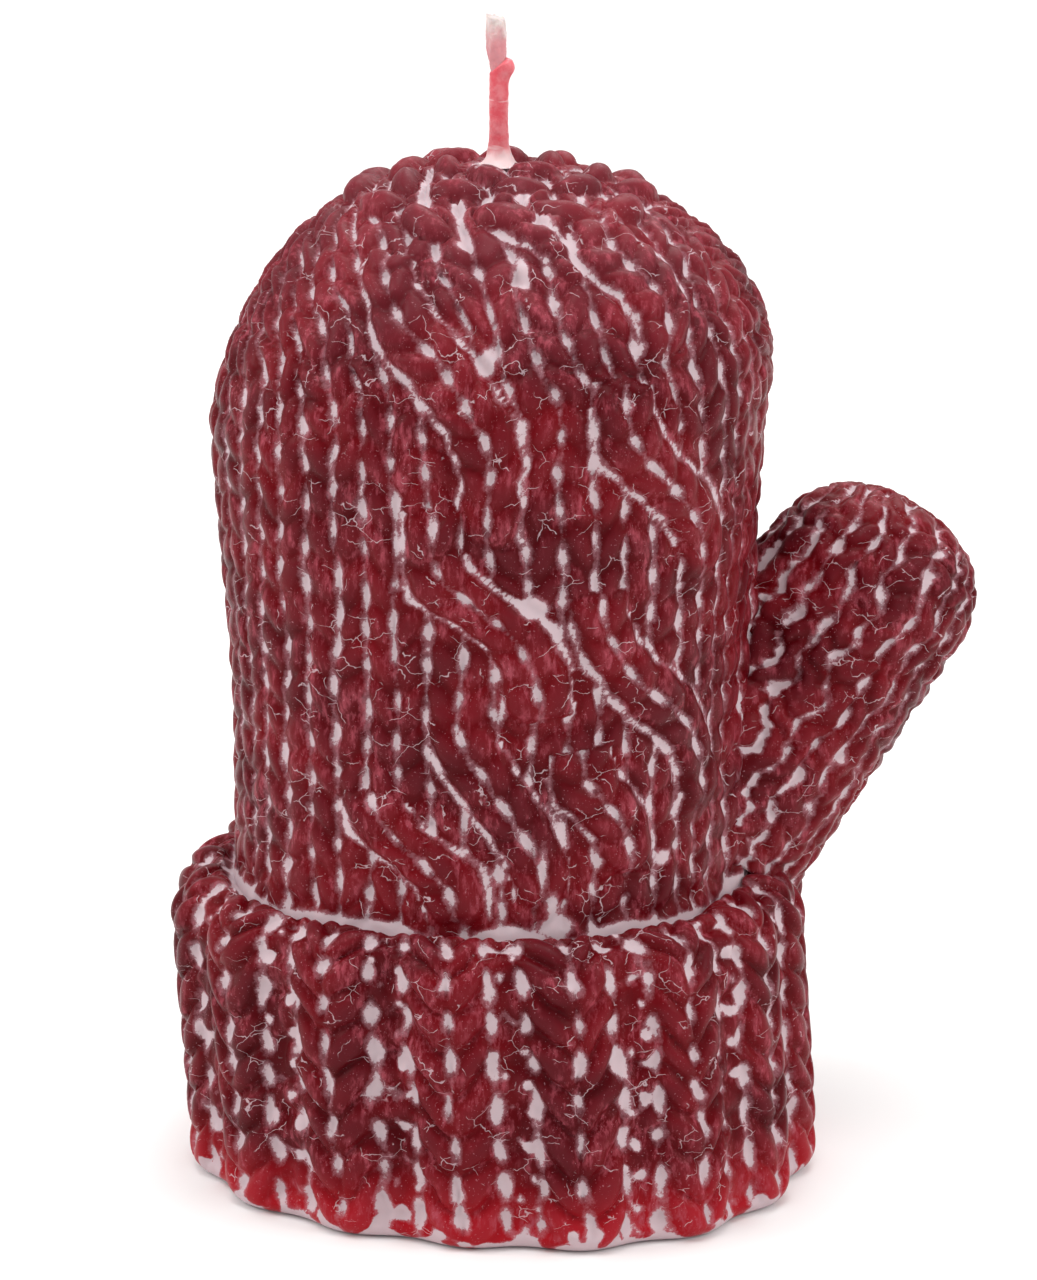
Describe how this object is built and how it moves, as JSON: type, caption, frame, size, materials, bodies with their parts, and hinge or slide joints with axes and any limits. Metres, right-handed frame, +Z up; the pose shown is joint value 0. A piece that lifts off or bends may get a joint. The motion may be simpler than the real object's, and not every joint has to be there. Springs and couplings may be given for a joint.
{
  "type": "mitten candle",
  "caption": "Moulded wax candle in the shape of a cable-knit mitten standing on its folded cuff, with a waxed cotton wick rising from the crown.",
  "frame": {"origin": "middle of the flat base, on the wick's axis", "axes": "+Z up along the wick; X across the width of the hand, with the thumb on the +X side; -Y faces out of the cabled back of the hand"},
  "size_m": [0.0771, 0.0578, 0.117],
  "materials": {
    "red_wax": "cast dark red wax with a satin gloss and a pinkish white wash in the knit's hollows",
    "wick_cotton": "braided off-white cotton",
    "wick_wax": "thin translucent pink wax, glossy",
    "tab_metal": "pressed tinplate"
  },
  "bodies": {
    "root": {"mitten_casting": "red_wax", "wick_braid": "wick_cotton", "wick_coat": "wick_wax", "wick_sustainer": "tab_metal"}
  },
  "joints": []
}
